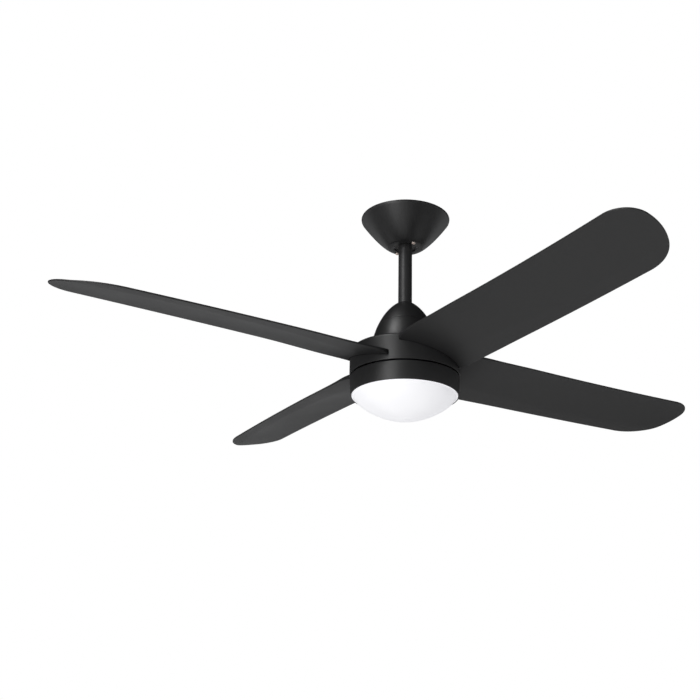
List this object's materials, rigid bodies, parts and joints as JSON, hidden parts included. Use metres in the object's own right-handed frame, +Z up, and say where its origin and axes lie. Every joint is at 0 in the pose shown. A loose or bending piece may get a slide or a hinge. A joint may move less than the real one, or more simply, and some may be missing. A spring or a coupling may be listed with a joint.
{
  "type": "ceiling fan with light",
  "caption": "Downrod ceiling fan with pitched moulded blades on a rotating drum, a cone canopy over a ball hanger, and an opal dome light under the motor.",
  "frame": {"origin": "centre of the hanger bracket's top face, on the ceiling", "axes": "+Z up into the ceiling, along the shaft; +X along the ceiling slots and the first blade"},
  "size_m": [1.32, 1.32, 0.4015],
  "materials": {
    "zinc_steel": "zinc plated",
    "white_nylon": "moulded",
    "black_plastic": "moulded",
    "black_metal": "satin black powder coat",
    "copper_plated_steel": "copper plated",
    "black_nylon": "moulded",
    "cast_aluminium": "die cast",
    "rubber": "matte",
    "bearing_steel": "ground",
    "laminated_steel": "laminated",
    "copper_wire": "enamelled copper",
    "magnet": "sintered",
    "led_board_white": "white solder mask",
    "led_phosphor": "phosphor",
    "opal_plastic": "satin opal",
    "black_blade": "matte black moulded"
  },
  "bodies": {
    "mount": {"hanger_bracket": "zinc_steel", "terminal_block": "white_nylon", "receiver": "black_plastic", "canopy": "black_metal", "canopy_screws": "copper_plated_steel"},
    "hanger": {"hanger_ball": "black_nylon", "ball_cross_pin": "zinc_steel", "ball_set_screw": "zinc_steel", "downrod": "black_metal", "yoke": "cast_aluminium", "yoke_set_screws": "zinc_steel", "clevis_pin": "zinc_steel", "hairpin_clip": "zinc_steel", "lower_cover": "black_metal", "cover_screws": "zinc_steel", "motor_shaft": "zinc_steel", "spacer_washers": "zinc_steel", "shaft_circlips": "zinc_steel", "bearing_inner_rings": "bearing_steel", "stator_core": "laminated_steel", "stator_windings": "copper_wire", "light_plate": "zinc_steel", "shaft_nut": "zinc_steel", "light_housing": "black_metal", "light_housing_screws": "zinc_steel", "led_driver": "white_nylon", "led_board": "led_board_white", "led_chips": "led_phosphor", "led_board_screws": "zinc_steel"},
    "rotor": {"bearing_outer_rings": "bearing_steel", "bearing_balls": "bearing_steel", "upper_bell": "cast_aluminium", "rotor_can": "laminated_steel", "lower_bell": "cast_aluminium", "rotor_magnets": "magnet", "bell_screws": "zinc_steel", "drum_shell": "black_metal", "drum_screws": "zinc_steel", "blade_screws": "zinc_steel", "blade_1": "black_blade", "blade_2": "black_blade", "blade_3": "black_blade", "blade_4": "black_blade"},
    "cover_cap": {"cover_cap": "black_metal", "cover_grommet": "rubber"},
    "lens": {"opal_lens": "opal_plastic"}
  },
  "joints": [
    {"name": "hanger_swing", "type": "hinge", "parent": "mount", "child": "hanger", "pos_m": [0, 0, -0.03873], "axis": [0, 1, 0], "range_deg": [-12, 12]},
    {"name": "rotor_spin", "type": "hinge", "parent": "hanger", "child": "rotor", "pos_m": [0, 0, -0.295], "axis": [0, 0, 1], "continuous": true},
    {"name": "cover_slide", "type": "slide", "parent": "hanger", "child": "cover_cap", "axis": [0, 0, 1], "range_m": [0, 0.1]},
    {"name": "lens_twist", "type": "hinge", "parent": "hanger", "child": "lens", "pos_m": [0, 0, -0.3572], "axis": [0, 0, -1], "range_deg": [0, 20]}
  ]
}
